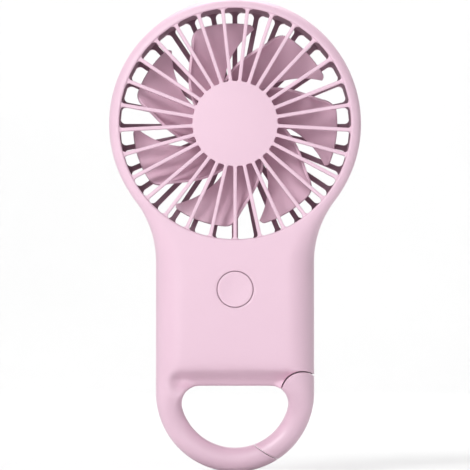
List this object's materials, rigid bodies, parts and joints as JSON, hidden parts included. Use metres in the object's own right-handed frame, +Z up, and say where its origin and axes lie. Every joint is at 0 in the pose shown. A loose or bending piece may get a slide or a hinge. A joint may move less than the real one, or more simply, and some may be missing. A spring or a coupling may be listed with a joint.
{
  "type": "handheld electric fan",
  "caption": "Pocket electric fan with a round caged head, a slab handle with a push button, and a carrying loop with a sprung gate.",
  "frame": {"origin": "centre of the carrying loop's round bottom, halfway through its thickness", "axes": "+X to the right seen from the front, +Y from the front (the side that the air leaves) to the back, +Z up the handle to the head"},
  "size_m": [0.0852, 0.026, 0.1604],
  "materials": {
    "shell": "fine satin moulding texture",
    "gate_plastic": "fine satin moulding texture",
    "button_plastic": "fine satin moulding texture",
    "blade_plastic": "satin",
    "screw_steel": "zinc plated",
    "yoke_steel": "drawn steel",
    "magnet": "bonded ferrite",
    "shaft_steel": "ground",
    "clip_plastic": "plain",
    "bronze": "oil-soaked sintered bronze",
    "base_aluminium": "die cast",
    "lamination_steel": "stacked sheets",
    "copper_wire": "enamelled copper wire",
    "circuit_board": "solder mask",
    "lead_sleeve_pink": "soft sleeve",
    "lead_sleeve_black": "soft sleeve",
    "switch_plastic": "plain",
    "chip_resin": "plain",
    "connector_plastic": "plain",
    "socket_steel": "nickel plated",
    "light_chip": "plain",
    "clear_lens": "moulded clear plastic",
    "battery_foil": "laminated foil pouch",
    "pad_foam": "closed-cell foam",
    "spring_steel": "music wire"
  },
  "bodies": {
    "root": {"front_shell": "shell", "rear_shell": "shell", "housing_screws": "screw_steel", "front_bearing": "bronze", "rear_bearing": "bronze", "motor_base": "base_aluminium", "motor_screws": "screw_steel", "stator_core": "lamination_steel", "stator_windings": "copper_wire", "motor_board": "circuit_board", "motor_leads": "lead_sleeve_pink", "switch_body": "switch_plastic", "main_board": "circuit_board", "board_screws": "screw_steel", "control_chip": "chip_resin", "lead_connectors": "connector_plastic", "charging_socket": "socket_steel", "charging_light": "light_chip", "light_lens": "clear_lens", "battery": "battery_foil", "battery_pad": "pad_foam", "battery_leads": "lead_sleeve_black", "gate_pin": "shaft_steel", "gate_spring": "spring_steel"},
    "rotor": {"impeller": "blade_plastic", "rotor_yoke": "yoke_steel", "rotor_magnet": "magnet", "motor_shaft": "shaft_steel", "shaft_clip": "clip_plastic"},
    "button": {"button_cap": "button_plastic", "switch_plunger": "switch_plastic"},
    "gate": {"gate": "gate_plastic"}
  },
  "joints": [
    {"name": "impeller_spin", "type": "hinge", "parent": "root", "child": "rotor", "pos_m": [0, 0, 0.091], "axis": [0, 1, 0], "continuous": true},
    {"name": "button_press", "type": "slide", "parent": "root", "child": "button", "axis": [0, 1, 0], "range_m": [0, 0.0005], "stiffness_N_per_m": 800, "springref_m": -0.0005},
    {"name": "gate_swing", "type": "hinge", "parent": "root", "child": "gate", "pos_m": [0.02275, 0, 0], "axis": [0, 1, 0], "range_deg": [0, 28], "stiffness_Nm_per_rad": 0.03, "springref_deg": -20.05}
  ]
}
